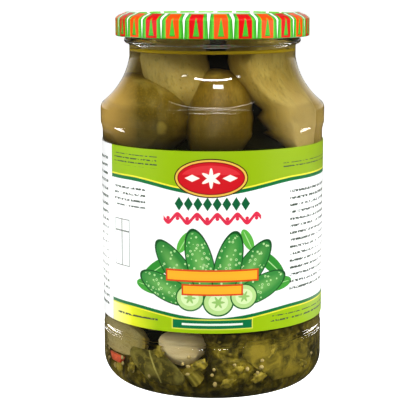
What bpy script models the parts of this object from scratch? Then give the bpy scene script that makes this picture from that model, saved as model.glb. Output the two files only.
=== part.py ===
"""Shut grocery jar of pickled cucumbers: glass jar, twist-off lid, paper wrap label and contents.

Metres, +Z up. The origin is the middle of the base, on the surface that the jar stands on, and
the front of the label faces -Y. Heights are called high or z, radii are measured from the axis.
"""
from math import cos, hypot, pi, radians, sin

import bmesh
import bpy
import numpy as np
from mathutils import Vector

MM = 0.001
SIDES = 48
GAP = 0.3 * MM

# The glass body, from the base up
BEARING_INNER = 34.5 * MM
BEARING_OUTER = 37.0 * MM
PUSH_UP = 4.0 * MM
HEEL_HIGH = 12.0 * MM
LOWER_RADIUS = 49.0 * MM
RIDGE_HIGH = 25.0 * MM
RIDGE_DEEP = 0.4 * MM
RIDGE_HALF = 0.7 * MM
PANEL_RADIUS = 48.7 * MM
PANEL_TOP = 112.5 * MM
UPPER_RADIUS = 49.5 * MM
UPPER_BOTTOM = 115.5 * MM
SHOULDER_CORNER = 122.6 * MM
SHOULDER_RADIUS = 48.4 * MM
SHOULDER_HIGH = 125.0 * MM
NECK_RADIUS = 36.6 * MM
NECK_BOTTOM = 144.6 * MM
NECK_TOP = 149.4 * MM
BEAD_RADIUS = 38.9 * MM
BEAD_MIDDLE = 151.7 * MM
BEAD_BOTTOM = 150.3 * MM
BEAD_TOP = 153.0 * MM
FINISH_RADIUS = 38.5 * MM
RIM_HIGH = 161.8 * MM
RIM_ROUND = 1.3 * MM

# The inside of the glass
WALL = 2.9 * MM
FLOOR_HIGH = 2.9 * MM
FLOOR_RADIUS = 34.5 * MM
FLOOR_PUSH_UP = 3.9 * MM
INNER_HEEL_HIGH = 13.0 * MM
FLOOR_STEPS = 3
MOUTH_RADIUS = 35.2 * MM
MOUTH_BOTTOM = 152.0 * MM

# Six threads of the finish and the six lugs of the lid that catch under them
THREADS = 6
ARC_STEPS = 5
THREAD_RADIUS = 38.9 * MM
THREAD_THICK = 1.7 * MM
THREAD_SPAN = radians(34)
THREAD_LOW = 157.6 * MM
THREAD_RISE = 1.2 * MM
LUG_RADIUS = 40.9 * MM
LUG_THICK = 1.3 * MM
LUG_SPAN = radians(14)
LUG_HIGH = 155.0 * MM

# The lid, pressed from thin tinplate
LID_RADIUS = 42.6 * MM
LID_BOTTOM = 153.65 * MM
LID_SKIRT_TOP = 161.4 * MM
LID_THICK = 0.45 * MM
LID_CURL = 1.25 * MM
LID_BEVEL_RADIUS = 39.8 * MM
LID_BEVEL_HIGH = 163.2 * MM
LID_RING_OUTER = 38.2 * MM
LID_RING_INNER = 36.8 * MM
LID_RING_HIGH = 163.9 * MM
LID_PANEL_RADIUS = 36.2 * MM
LID_PANEL_HIGH = 162.6 * MM
BUTTON_OUTER = 15.0 * MM
BUTTON_INNER = 13.0 * MM
BUTTON_HIGH = 162.1 * MM

# The paper label, wrapped all round the recessed panel
LABEL_BOTTOM = 31.4 * MM
LABEL_TOP = 108.4 * MM
LABEL_THICK = 0.25 * MM

# Everything in the jar stays this far from the glass
CLEARANCE = 0.9 * MM

# The hidden middle of the heap
CORE_RADIUS = 30 * MM
CORE_NECK_RADIUS = 22 * MM
CORE_BOTTOM = 12 * MM
CORE_SHOULDER = 118 * MM
CORE_TOP = 140 * MM

# Cucumbers as (one end, other end, radius, bow sideways, taper, depth behind the glass), in
# millimetres; a taper of -0.3 makes the second end 0.3 of the radius thinner
CUCUMBERS = [
    ((-20.5, -39.2, 117.3), (-37, 12, 120.5), 16.4, 2, 0.0, 0.0),
    ((-0.5, -36, 103), (2.0, -12.5, 137.6), 12.2, 2, 0.0, 0.0),
    ((14.8, -9, 157), (39.6, -21.5, 102), 14.0, 3, -0.35, 0.4),
    ((25, 5, 151), (36, 9, 84), 13.5, -2, 0.0, 0.0),
    ((-18.6, -8, 157), (-5, -18.5, 112), 13.5, 2, 0.0, 0.3),
    ((1, 19, 149), (-1, 35, 86), 15.0, 2, 0.0, 0.0),
    ((-25, 4, 151), (-33, 24, 88), 13.5, 2, 0.0, 0.0),
    ((10, -38, 90), (-36, -26, 92), 13.0, 2, 0.0, 0.0),
    ((-41, 4, 21.5), (-27.5, -31, 22.5), 7.5, 2, 0.0, 3.2),
    ((-38, -14, 37.5), (-13, -26, 34.5), 8.5, 0, 0.0, 4.0),
    ((9, -27, 31), (35, -6, 32), 12.5, 0, 0.0, 0.0),
    ((41, 0, 18), (14, 40, 23), 13.5, 3, 0.0, 0.0),
    ((8, 36, 22), (-38, 22, 24), 14.0, 3, 0.0, 0.0),
    ((-38, 24, 18), (-38, -5, 18), 9.0, 0, 0.0, 0.0),
    ((6, -27, 18), (30, -20, 15), 9.5, 0, 0.0, 0.0),
]
SLACK_STEP = 0.07 * MM
BLUNT = 2.8
THREE_SIDED = 0.035
CUCUMBER_SIDES = 12
CUCUMBER_RINGS = 10

# Small pieces that lie against the glass below the label
GARLIC_PLACE = (-11.5, -34.8, 22.2)
GARLIC_HALF = (10.3, 6.0, 7.6)
GARLIC_TIP = 2.2
PEPPER_AROUND = radians(-66)
PEPPER_HIGH = 12.6 * MM
PEPPER_SIZE = (12.4 * MM, 3.8 * MM, 2.6 * MM)
STALK_ENDS = ((-9.4, -40.0, 13.6), (-5.6, -38.0, 8.8))
STALK_RADIUS = 3.2

# Leaves as (angle from the front, low z, high z, half width), wrapped on the inside of the glass
LEAVES = {
    "leaf_front": (radians(-33), 7.5 * MM, 21 * MM, 11.5 * MM),
    "leaf_right": (radians(42), 8 * MM, 26 * MM, 17 * MM),
}
LEAF_THICK = 0.5 * MM
LEAF_WAVE = 0.4 * MM
LEAF_CELLS = 6


def empty_scene():
    for thing in list(bpy.data.objects):
        bpy.data.objects.remove(thing, do_unlink=True)


def new_collection(name):
    group = bpy.data.collections.new(name)
    bpy.context.scene.collection.children.link(group)
    return group


def finish(name, colour, roughness, metallic=0.0, transmission=0.0):
    material = bpy.data.materials.new(name)
    material.use_nodes = True
    shader = material.node_tree.nodes["Principled BSDF"]
    shader.inputs["Base Color"].default_value = (*colour, 1.0)
    shader.inputs["Roughness"].default_value = roughness
    shader.inputs["Metallic"].default_value = metallic
    shader.inputs["Transmission Weight"].default_value = transmission
    return material


def add_object(name, mesh, material, group):
    thing = bpy.data.objects.new(name, mesh)
    mesh.materials.clear()
    mesh.materials.append(material)
    group.objects.link(thing)
    return thing


def bend(start, end, turn, steps):
    """The points after start on an arc to end whose heading turns by turn, anticlockwise."""
    along = (end[0] - start[0], end[1] - start[1])
    radius = hypot(*along) / (2 * sin(turn / 2))
    heading = np.arctan2(along[1], along[0]) - turn / 2
    points = []
    for step in range(1, steps + 1):
        angle = heading + turn * step / steps
        across = start[0] + radius * (sin(angle) - sin(heading))
        up = start[1] - radius * (cos(angle) - cos(heading))
        points.append((across, up))
    return points


def glass_outside():
    """Outer side of the glass as (radius, z), from the rim down to the middle of the base."""
    rim = (FINISH_RADIUS - RIM_ROUND, RIM_HIGH)
    line = [rim]
    line += bend(rim, (FINISH_RADIUS, RIM_HIGH - RIM_ROUND), -pi / 2, 3)
    line.append((FINISH_RADIUS, BEAD_TOP))
    line += bend(line[-1], (BEAD_RADIUS, BEAD_MIDDLE), radians(-30), 2)
    line += bend(line[-1], (NECK_RADIUS + 0.6 * MM, BEAD_BOTTOM), radians(-80), 3)
    line.append((NECK_RADIUS, NECK_TOP))
    line.append((NECK_RADIUS, NECK_BOTTOM))
    line += bend(line[-1], (SHOULDER_RADIUS, SHOULDER_HIGH), radians(42), 6)
    line += bend(line[-1], (UPPER_RADIUS, SHOULDER_CORNER), radians(-40), 3)
    line.append((UPPER_RADIUS, UPPER_BOTTOM))
    line.append((PANEL_RADIUS, PANEL_TOP))
    line.append((PANEL_RADIUS, RIDGE_HIGH + 2 * MM))
    line.append((LOWER_RADIUS, RIDGE_HIGH + RIDGE_HALF))
    line.append((LOWER_RADIUS - RIDGE_DEEP, RIDGE_HIGH))
    line.append((LOWER_RADIUS, RIDGE_HIGH - RIDGE_HALF))
    line.append((LOWER_RADIUS, HEEL_HIGH))
    line += bend(line[-1], (BEARING_OUTER, 0.0), -pi / 2, 6)
    line.append((BEARING_INNER, 0.0))
    line += bend(line[-1], (0.0, PUSH_UP), radians(14), 3)
    return line


def glass_inside():
    """Inner side of the glass as (radius, z), from the middle of the floor up to the rim."""
    body = PANEL_RADIUS - WALL
    line = [(0.0, FLOOR_HIGH + FLOOR_PUSH_UP)]
    line += bend(line[-1], (FLOOR_RADIUS, FLOOR_HIGH), radians(-14), FLOOR_STEPS)
    line += bend(line[-1], (body, INNER_HEEL_HIGH), radians(78), 4)
    line.append((body, SHOULDER_CORNER - 1 * MM))
    line += bend(line[-1], (SHOULDER_RADIUS - WALL, SHOULDER_HIGH - 1 * MM), radians(30), 2)
    line += bend(line[-1], (NECK_RADIUS - WALL, NECK_BOTTOM), radians(-40), 6)
    line.append((NECK_RADIUS - WALL, NECK_TOP))
    line.append((MOUTH_RADIUS, MOUTH_BOTTOM))
    line.append((MOUTH_RADIUS, RIM_HIGH - 1 * MM))
    line.append((MOUTH_RADIUS + 0.6 * MM, RIM_HIGH))
    return line


def lid_outside():
    """Upper and outer side of the lid, from its middle out and down to the curled edge."""
    line = [(0.0, BUTTON_HIGH), (BUTTON_INNER, BUTTON_HIGH), (BUTTON_OUTER, LID_PANEL_HIGH)]
    line.append((LID_PANEL_RADIUS, LID_PANEL_HIGH))
    line.append((LID_RING_INNER, LID_RING_HIGH))
    line += bend(line[-1], (LID_RING_OUTER, LID_RING_HIGH), radians(-60), 2)
    line.append((LID_BEVEL_RADIUS, LID_BEVEL_HIGH))
    line += bend(line[-1], (LID_RADIUS, LID_SKIRT_TOP), radians(-40), 3)
    line.append((LID_RADIUS, LID_BOTTOM + LID_CURL / 2))
    return line


def lid_inside():
    """Underside of the lid, from the curled edge up and in to its middle."""
    bore = LID_RADIUS - LID_THICK
    below = LID_THICK + 0.15 * MM
    line = [(bore, LID_BOTTOM + LID_CURL + 0.5 * MM), (bore, LID_SKIRT_TOP - below)]
    line.append((LID_BEVEL_RADIUS, LID_BEVEL_HIGH - below))
    line.append((LID_RING_OUTER - 0.2 * MM, LID_RING_HIGH - LID_THICK))
    line.append((LID_RING_INNER + 0.4 * MM, LID_RING_HIGH - LID_THICK))
    line.append((LID_PANEL_RADIUS + 0.4 * MM, LID_PANEL_HIGH - LID_THICK))
    line.append((BUTTON_OUTER + 0.2 * MM, LID_PANEL_HIGH - LID_THICK))
    line += [(BUTTON_INNER, BUTTON_HIGH - LID_THICK), (0.0, BUTTON_HIGH - LID_THICK)]
    return line


def turned(name, outline, material, group, closed=False):
    """A solid of revolution about Z from an outline that runs down its outer side."""
    mesh = bpy.data.meshes.new(name)
    count = len(outline)
    edges = [(index, index + 1) for index in range(count - 1)]
    if closed:
        edges.append((count - 1, 0))
    mesh.from_pydata([(radius, 0.0, z) for radius, z in outline], edges, [])
    thing = add_object(name, mesh, material, group)
    screw = thing.modifiers.new("Turn", "SCREW")
    screw.axis = "Z"
    screw.angle = 2 * pi
    screw.steps = SIDES
    screw.render_steps = SIDES
    screw.use_merge_vertices = True
    screw.merge_threshold = 0.00001
    screw.use_smooth_shade = True
    return thing


def as_mesh(thing, group):
    """The evaluated object as a plain mesh object of the same name, with its seams welded."""
    name = thing.name
    evaluated = thing.evaluated_get(bpy.context.evaluated_depsgraph_get())
    mesh = bpy.data.meshes.new_from_object(evaluated)
    material = thing.data.materials[0]
    place = thing.matrix_world.copy()
    bpy.data.objects.remove(thing, do_unlink=True)
    welded = bmesh.new()
    welded.from_mesh(mesh)
    bmesh.ops.remove_doubles(welded, verts=welded.verts, dist=0.00001)
    bmesh.ops.recalc_face_normals(welded, faces=welded.faces)
    welded.to_mesh(mesh)
    welded.free()
    plain = add_object(name, mesh, material, group)
    plain.matrix_world = place
    return plain


def ring_bead(name, radius, low, rise, middle, span, thick, material, group):
    """A short round bead that follows a circle about Z and climbs by rise."""
    curve = bpy.data.curves.new(name, "CURVE")
    curve.dimensions = "3D"
    curve.bevel_depth = thick / 2
    curve.bevel_resolution = 1
    curve.use_fill_caps = True
    curve.materials.append(material)
    spline = curve.splines.new("POLY")
    spline.points.add(ARC_STEPS)
    for step, point in enumerate(spline.points):
        part = step / ARC_STEPS
        angle = middle + span * (part - 0.5)
        point.co = (radius * cos(angle), radius * sin(angle), low + rise * part, 1.0)
    bead = bpy.data.objects.new(name, curve)
    group.objects.link(bead)
    return as_mesh(bead, group)


def fuse(thing, pieces, solver="EXACT"):
    """Join the pieces of a collection to a solid with one Boolean union, and remove them."""
    union = thing.modifiers.new("Union", "BOOLEAN")
    union.operation = "UNION"
    union.operand_type = "COLLECTION"
    union.collection = pieces
    union.solver = solver
    evaluated = thing.evaluated_get(bpy.context.evaluated_depsgraph_get())
    mesh = bpy.data.meshes.new_from_object(evaluated)
    thing.modifiers.clear()
    thing.data = mesh
    for piece in list(pieces.objects):
        bpy.data.objects.remove(piece, do_unlink=True)
    bpy.data.collections.remove(pieces)


def floor_at(radius):
    """Height that the contents may sink to over the raised middle of the base."""
    radii, heights = zip(*glass_inside()[:FLOOR_STEPS + 1])
    return float(np.interp(radius, radii, heights)) + CLEARANCE


def room_at(z):
    """Radius that the contents may reach at a height inside the glass."""
    radii, heights = zip(*glass_inside()[FLOOR_STEPS:])
    return float(np.interp(z, heights, radii)) - CLEARANCE


def press(point, slack=0.0):
    """Pull a point in where it would cross the glass, as food is pressed flat against a jar."""
    reach = hypot(point.x, point.y)
    point.z = max(point.z, floor_at(reach) + slack)
    room = room_at(point.z) - slack
    if reach > room:
        point.x *= room / reach
        point.y *= room / reach
    return point


def cucumber(name, ends, radius, bow, taper, slack, material, group):
    """A blunt, slightly three-sided gherkin with a small bow, that far in from the glass."""
    low, high = (Vector(end) * MM for end in ends)
    along = high - low
    half = along.length / 2
    along.normalize()
    side = along.cross(Vector((0, 0, 1)))
    side = side.normalized() if side.length > 0.1 else Vector((1, 0, 0))
    other = along.cross(side)
    shape = bmesh.new()
    bmesh.ops.create_uvsphere(shape, u_segments=CUCUMBER_SIDES, v_segments=CUCUMBER_RINGS, radius=1.0)
    for vert in shape.verts:
        length = vert.co.z
        around = np.arctan2(vert.co.y, vert.co.x)
        fat = radius * MM * (1 - abs(length) ** BLUNT) ** 0.5 * (1 + THREE_SIDED * cos(3 * around))
        fat *= 1 + taper * length
        middle = (low + high) / 2 + along * (half * length) + side * (bow * MM * (1 - length ** 2))
        skin = middle + side * (fat * cos(around)) + other * (fat * sin(around))
        vert.co = press(skin, slack)
    mesh = bpy.data.meshes.new(name)
    shape.to_mesh(mesh)
    shape.free()
    return add_object(name, mesh, material, group)


def make_glass(group):
    glass = finish("clear_glass", (0.88, 0.93, 0.9), 0.02, transmission=1.0)
    jar = turned("glass_jar", glass_inside() + glass_outside(), glass, group)
    jar = as_mesh(jar, group)
    threads = new_collection("threads")
    for number in range(THREADS):
        middle = 2 * pi * number / THREADS
        ring_bead(
            f"thread_{number}", THREAD_RADIUS, THREAD_LOW, THREAD_RISE, middle,
            THREAD_SPAN, THREAD_THICK, glass, threads,
        )
    fuse(jar, threads)
    jar.data.shade_smooth()
    jar.data.set_sharp_from_angle(angle=radians(40))


def make_lid(group):
    tinplate = finish("printed_tinplate", (0.2, 0.62, 0.12), 0.28, metallic=0.2)
    curl_inner = (LID_RADIUS - LID_CURL, LID_BOTTOM + LID_CURL / 2)
    curl = bend((LID_RADIUS, LID_BOTTOM + LID_CURL / 2), curl_inner, -pi, 4)
    curl += [(LID_RADIUS - LID_CURL, LID_BOTTOM + LID_CURL)]
    outline = lid_outside() + curl + lid_inside()
    lid = as_mesh(turned("lid", outline, tinplate, group), group)
    lugs = new_collection("lugs")
    for number in range(THREADS):
        middle = 2 * pi * (number + 0.5) / THREADS - THREAD_SPAN
        ring_bead(
            f"lug_{number}", LUG_RADIUS, LUG_HIGH, 0.0, middle, LUG_SPAN, LUG_THICK, tinplate, lugs,
        )
    fuse(lid, lugs)
    lid.data.shade_smooth()
    lid.data.set_sharp_from_angle(angle=radians(40))


def make_label(group):
    paper = finish("label_paper", (0.55, 0.74, 0.2), 0.45)
    inner = PANEL_RADIUS + GAP
    outer = inner + LABEL_THICK
    outline = [(outer, LABEL_TOP), (outer, LABEL_BOTTOM), (inner, LABEL_BOTTOM), (inner, LABEL_TOP)]
    turned("label", outline, paper, group, closed=True)


def make_pickles(group):
    skin = finish("pickle_skin", (0.2, 0.2, 0.03), 0.35)
    core = [(0.0, CORE_TOP), (CORE_NECK_RADIUS, CORE_TOP), (CORE_RADIUS, CORE_SHOULDER)]
    core += [(CORE_RADIUS, CORE_BOTTOM), (0.0, CORE_BOTTOM)]
    heap = as_mesh(turned("pickles", core, skin, group), group)
    pieces = new_collection("cucumbers")
    for number, (start, end, radius, bow, taper, depth) in enumerate(CUCUMBERS):
        slack = SLACK_STEP * number + depth * MM
        cucumber(f"cucumber_{number}", (start, end), radius, bow, taper, slack, skin, pieces)
    fuse(heap, pieces)
    heap.data.shade_smooth()
    heap.data.set_sharp_from_angle(angle=radians(50))


def make_garlic(group):
    """A peeled clove: a fat crescent that narrows to a tip."""
    shape = bmesh.new()
    bmesh.ops.create_uvsphere(shape, u_segments=14, v_segments=9, radius=1.0)
    for vert in shape.verts:
        across, deep, up = vert.co.z, vert.co.x, vert.co.y
        narrow = 1 - 0.28 * max(across, 0.0) ** 2
        vert.co = Vector((
            GARLIC_PLACE[0] + GARLIC_HALF[0] * across,
            GARLIC_PLACE[1] + GARLIC_HALF[1] * deep * narrow,
            GARLIC_PLACE[2] + GARLIC_HALF[2] * up * narrow + GARLIC_TIP * across ** 2,
        )) * MM
        press(vert.co)
    mesh = bpy.data.meshes.new("garlic_clove")
    shape.to_mesh(mesh)
    shape.free()
    clove = add_object("garlic_clove", mesh, finish("garlic", (0.62, 0.53, 0.33), 0.3), group)
    clove.data.shade_smooth()


def make_pepper(group):
    """A small strip of red pepper that lies flat on the glass, with rounded edges."""
    reach = room_at(PEPPER_HIGH) - PEPPER_SIZE[2]
    bpy.ops.mesh.primitive_cube_add(size=1.0)
    strip = bpy.context.object
    for vert in strip.data.vertices:
        vert.co = Vector((
            vert.co.x * PEPPER_SIZE[0] * (0.8 + 0.4 * vert.co.z),
            vert.co.y * PEPPER_SIZE[2],
            vert.co.z * PEPPER_SIZE[1],
        ))
    strip.name = "pepper_piece"
    strip.data.materials.append(finish("red_pepper", (0.55, 0.06, 0.02), 0.3))
    strip.location = (reach * sin(PEPPER_AROUND), -reach * cos(PEPPER_AROUND), PEPPER_HIGH)
    strip.rotation_euler = (0.0, 0.0, PEPPER_AROUND)
    edge = strip.modifiers.new("Edge", "BEVEL")
    edge.width = 0.8 * MM
    edge.segments = 2
    for owner in list(strip.users_collection):
        owner.objects.unlink(strip)
    group.objects.link(strip)


def make_stalk(group):
    """A cut piece of dill stalk, as thick as a pencil."""
    low, high = (Vector(end) * MM for end in STALK_ENDS)
    along = high - low
    shape = bmesh.new()
    bmesh.ops.create_cone(
        shape, cap_ends=True, segments=12, radius1=STALK_RADIUS * MM, radius2=STALK_RADIUS * 0.9 * MM,
        depth=along.length,
    )
    mesh = bpy.data.meshes.new("dill_stalk")
    shape.to_mesh(mesh)
    shape.free()
    stalk = add_object("dill_stalk", mesh, finish("dill_stalk", (0.33, 0.27, 0.04), 0.4), group)
    stalk.location = (low + high) / 2
    stalk.rotation_mode = "QUATERNION"
    stalk.rotation_quaternion = along.to_track_quat("Z", "Y")
    stalk.data.shade_smooth()
    stalk.data.set_sharp_from_angle(angle=radians(40))


def make_leaf(name, around, low, high, half_width, material, group):
    """A thin wavy leaf with a pointed end, wrapped on the inside of the glass."""
    shape = bmesh.new()
    bmesh.ops.create_grid(shape, x_segments=LEAF_CELLS, y_segments=LEAF_CELLS, size=1.0)
    for vert in shape.verts:
        across, up = vert.co.x, vert.co.y
        z = low + (high - low) * (up + 1) / 2
        wide = half_width * (1 - 0.55 * across * up) * (1 - 0.35 * up ** 2)
        wave = LEAF_WAVE * (1 + sin(5 * across + 2 * up) * cos(3 * up))
        reach = room_at(z) - LEAF_THICK - wave
        angle = around + across * wide / reach
        vert.co = (reach * sin(angle), -reach * cos(angle), z)
    bmesh.ops.triangulate(shape, faces=shape.faces)
    mesh = bpy.data.meshes.new(name)
    shape.to_mesh(mesh)
    shape.free()
    leaf = add_object(name, mesh, material, group)
    thick = leaf.modifiers.new("Thickness", "SOLIDIFY")
    thick.thickness = LEAF_THICK
    thick.offset = 0.0
    leaf.data.shade_smooth()


def build():
    empty_scene()
    group = new_collection("pickle_jar")
    make_glass(group)
    make_lid(group)
    make_label(group)
    make_pickles(group)
    make_garlic(group)
    make_pepper(group)
    make_stalk(group)
    green = finish("pickled_leaf", (0.13, 0.13, 0.03), 0.45)
    for name, (around, low, high, half_width) in LEAVES.items():
        make_leaf(name, around, low, high, half_width, green, group)


build()
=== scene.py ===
"""Looks of a shut grocery jar of pickled cucumbers: glass, brine, contents, paper label and lid."""
from math import atan2, cos, hypot, pi, radians, sin

import bmesh
import bpy
import numpy as np
from mathutils import Matrix, Vector, noise


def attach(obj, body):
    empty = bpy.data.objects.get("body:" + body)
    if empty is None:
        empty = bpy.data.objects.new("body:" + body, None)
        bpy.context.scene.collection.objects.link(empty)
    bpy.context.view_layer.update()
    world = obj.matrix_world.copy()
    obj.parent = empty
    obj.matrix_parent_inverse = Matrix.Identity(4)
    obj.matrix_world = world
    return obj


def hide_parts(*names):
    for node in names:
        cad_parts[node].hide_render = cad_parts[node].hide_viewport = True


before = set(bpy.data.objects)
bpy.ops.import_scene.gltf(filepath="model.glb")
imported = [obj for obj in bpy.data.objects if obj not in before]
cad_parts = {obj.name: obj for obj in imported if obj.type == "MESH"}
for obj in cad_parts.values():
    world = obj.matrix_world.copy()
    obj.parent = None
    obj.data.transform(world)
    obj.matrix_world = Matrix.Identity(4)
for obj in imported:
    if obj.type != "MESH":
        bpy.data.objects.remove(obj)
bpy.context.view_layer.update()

scene = bpy.context.scene
MM = 0.001

# Camera: a long lens a little above the jar's lid, looking down at it, as in the photo.
# The jar stands a few pixels right of the picture's middle, so the camera turns left by that much.
IMAGE_SIDE = 416
LENS_PIXELS = 1394.5
JAR_RIGHT_OF_MIDDLE = 4.4
camera_data = bpy.data.cameras.new("camera")
camera_data.sensor_width = 36.0
camera_data.lens = LENS_PIXELS * camera_data.sensor_width / IMAGE_SIDE
camera_data.clip_start = 0.01
camera = bpy.data.objects.new("camera", camera_data)
camera.location = (0.0, -0.6174, 0.181)
camera.rotation_euler = (pi / 2 - radians(9.6), 0.0, atan2(JAR_RIGHT_OF_MIDDLE, LENS_PIXELS))
scene.collection.objects.link(camera)
scene.camera = camera
scene.view_settings.view_transform = "Standard"

# Studio: a surround that is white behind the jar and dim on the camera's side, soft boxes for key
# and fill that the glass doesn't mirror, strips and small lights that make its glints, two low lights
# for the bead under the lid, and a floor that is white to the camera and dim to the glass.


def to_linear(code):
    """Linear colour with alpha from an sRGB hex value."""
    parts = [int(code[at:at + 2], 16) / 255 for at in (0, 2, 4)]
    return tuple(c / 12.92 if c <= 0.04045 else ((c + 0.055) / 1.055) ** 2.4 for c in parts) + (1.0,)


def add(tree, kind, links=None, **settings):
    """Add one shader node; links gives its inputs a value, a socket or another node."""
    node = tree.nodes.new("ShaderNode" + kind)
    for name, value in settings.items():
        setattr(node, name, value)
    for socket, value in (links or {}).items():
        if isinstance(value, bpy.types.Node):
            value = value.outputs[0]
        if isinstance(value, bpy.types.NodeSocket):
            tree.links.new(value, node.inputs[socket])
        else:
            node.inputs[socket].default_value = value
    return node


def new_material(name):
    """An empty node material and its tree."""
    material = bpy.data.materials.new(name)
    material.use_nodes = True
    material.node_tree.nodes.clear()
    return material, material.node_tree


def lamp(name, place, size, watts, seen=True, inner=True):
    """A soft box that faces the jar; glass mirrors it if seen, on its inner faces too if inner."""
    light = bpy.data.lights.new(name, "AREA")
    light.shape = "RECTANGLE"
    light.size, light.size_y = size
    light.energy = watts
    box = bpy.data.objects.new(name, light)
    box.location = place
    box.rotation_euler = (Vector((0, 0, 0.09)) - Vector(place)).to_track_quat("-Z", "Y").to_euler()
    box.visible_glossy = seen
    box.visible_transmission = seen and inner
    scene.collection.objects.link(box)


lamp("key_box", (0.25, -1.0, 1.1), (0.9, 0.5), 8.5, seen=False)
lamp("fill_box_left", (-1.05, -0.3, 0.35), (0.8, 0.8), 13.0, seen=False)
lamp("fill_box_right", (1.05, -0.3, 0.22), (0.8, 0.8), 14.0, seen=False)
lamp("low_fill", (0.0, -1.4, 0.12), (0.8, 0.3), 4.0, seen=False)
lamp("strip_light", (0.02, -0.75, 0.85), (0.78, 0.04), 4.0)
lamp("top_strip", (0.0, 0.0, 1.0), (0.9, 0.012), 0.5, inner=False)
lamp("bead_light_left", (-0.22, 0.13, 0.014), (0.2, 0.02), 0.12, inner=False)
lamp("bead_light_right", (0.22, 0.13, 0.014), (0.2, 0.02), 0.12, inner=False)
lamp("small_light", (0.12, -0.72, 1.12), (0.22, 0.12), 1.5)
lamp("glint_left", (-0.68, -0.75, 0.85), (0.12, 0.05), 0.15)
lamp("glint_right", (0.6, -0.75, 0.85), (0.07, 0.05), 0.1)

world = bpy.data.worlds.new("studio_surround")
world.use_nodes = True
tree = world.node_tree
way = add(tree, "SeparateXYZ", {0: add(tree, "TexCoord").outputs["Generated"]})
low_back = add(tree, "Math", {
    0: way.outputs["Z"], 1: -0.6, 2: way.outputs["Y"],
}, operation="MULTIPLY_ADD")
bright = add(tree, "MapRange", {0: low_back, 1: 0.55, 2: 0.9, 3: 0.03, 4: 0.7})
tree.links.new(bright.outputs[0], tree.nodes["Background"].inputs["Strength"])
tree.nodes["Background"].inputs["Color"].default_value = to_linear("fcfdff")
scene.world = world

floor_material, tree = new_material("pale_floor")
floor_skin = add(tree, "BsdfPrincipled", {
    "Base Color": to_linear("fbfbfb"), "Roughness": 0.6,
    "Emission Color": to_linear("ffffff"), "Emission Strength": 1.0,
})
floor_dim = add(tree, "BsdfPrincipled", {"Base Color": to_linear("2e2c20"), "Roughness": 0.9})
floor_seen = add(tree, "LightPath").outputs["Is Camera Ray"]
floor_mix = add(tree, "MixShader", {0: floor_seen, 1: floor_dim, 2: floor_skin})
add(tree, "OutputMaterial", {"Surface": floor_mix})
bpy.ops.mesh.primitive_plane_add(size=30.0, location=(0, 0, -0.0002))
studio_floor = bpy.context.object
studio_floor.name = "studio_floor"
studio_floor.data.materials.append(floor_material)

# Glass jar: pressed and blown soda-lime glass, clear with smooth fire-polished faces. The same
# outline as the solid, with finer arcs and without the threads that the lid hides, is turned into
# one closed wall that is open at the mouth.
SIDES = 160
WALL = 2.9 * MM
GLASS = {
    "bearing": (34.5 * MM, 37.0 * MM), "push_up": 4.0 * MM, "heel": 12.0 * MM,
    "lower": 49.0 * MM, "ridge": 25.0 * MM, "ridge_deep": 0.4 * MM,
    "panel": 48.7 * MM, "panel_top": 112.5 * MM, "upper": 49.5 * MM, "upper_bottom": 115.5 * MM,
    "corner": 122.6 * MM, "shoulder": 48.4 * MM, "shoulder_high": 125.0 * MM,
    "neck": 36.6 * MM, "neck_bottom": 144.6 * MM, "neck_top": 149.4 * MM,
    "bead_bottom": 150.3 * MM, "bead_top": 153.0 * MM, "bead": 38.9 * MM, "bead_middle": 151.7 * MM,
    "finish": 38.5 * MM, "rim": 161.8 * MM, "rim_round": 1.3 * MM,
    "floor": 2.9 * MM, "floor_radius": 34.5 * MM, "floor_push_up": 3.9 * MM,
    "inner_heel": 13.0 * MM, "mouth": 35.2 * MM, "mouth_bottom": 152.0 * MM,
}


def bend(start, end, turn, steps):
    """The points after start on an arc to end whose heading turns by turn, anticlockwise."""
    along = (end[0] - start[0], end[1] - start[1])
    radius = hypot(*along) / (2 * sin(turn / 2))
    heading = atan2(along[1], along[0]) - turn / 2
    points = []
    for step in range(1, steps + 1):
        angle = heading + turn * step / steps
        across = start[0] + radius * (sin(angle) - sin(heading))
        up = start[1] - radius * (cos(angle) - cos(heading))
        points.append((across, up))
    return points


def straight(start, end):
    """The points after start on an upright wall; short steps at its ends keep its shading flat."""
    step = 0.5 * MM if end[1] > start[1] else -0.5 * MM
    return [(start[0], start[1] + step), (end[0], end[1] - step), end]


def glass_outside():
    """Outer side of the glass as (radius, z), from the rim down to the middle of the base."""
    g = GLASS
    rim = (g["finish"] - g["rim_round"], g["rim"])
    line = [rim]
    line += bend(rim, (g["finish"], g["rim"] - g["rim_round"]), -pi / 2, 6)
    line.append((g["finish"], g["bead_top"]))
    line += bend(line[-1], (g["bead"], g["bead_middle"]), radians(-30), 5)
    line += bend(line[-1], (g["neck"] + 0.6 * MM, g["bead_bottom"]), radians(-80), 8)
    line += bend(line[-1], (g["neck"], g["neck_top"]), radians(40), 3)
    line += straight(line[-1], (g["neck"], g["neck_bottom"]))
    line += bend(line[-1], (g["shoulder"], g["shoulder_high"]), radians(42), 18)
    line += bend(line[-1], (g["upper"], g["corner"]), radians(-40), 8)
    line += straight(line[-1], (g["upper"], g["upper_bottom"] + 0.8 * MM))
    line += bend(line[-1], (g["upper"] - 0.2 * MM, g["upper_bottom"]), radians(-18), 3)
    line += bend(line[-1], (g["panel"], g["panel_top"]), radians(14), 4)
    line += straight(line[-1], (g["panel"], g["ridge"] + 2 * MM))
    line += bend(line[-1], (g["lower"], g["ridge"] + 0.9 * MM), radians(-12), 3)
    low = (g["lower"] - g["ridge_deep"], g["ridge"])
    line += bend(line[-1], low, radians(60), 4)
    line += bend(low, (g["lower"], g["ridge"] - 0.9 * MM), radians(60), 4)
    line += straight(line[-1], (g["lower"], g["heel"]))
    line += bend(line[-1], (g["bearing"][1], 0.0), -pi / 2, 20)
    line.append((g["bearing"][0], 0.0))
    line += bend(line[-1], (0.0, g["push_up"]), radians(14), 8)
    return line


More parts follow.
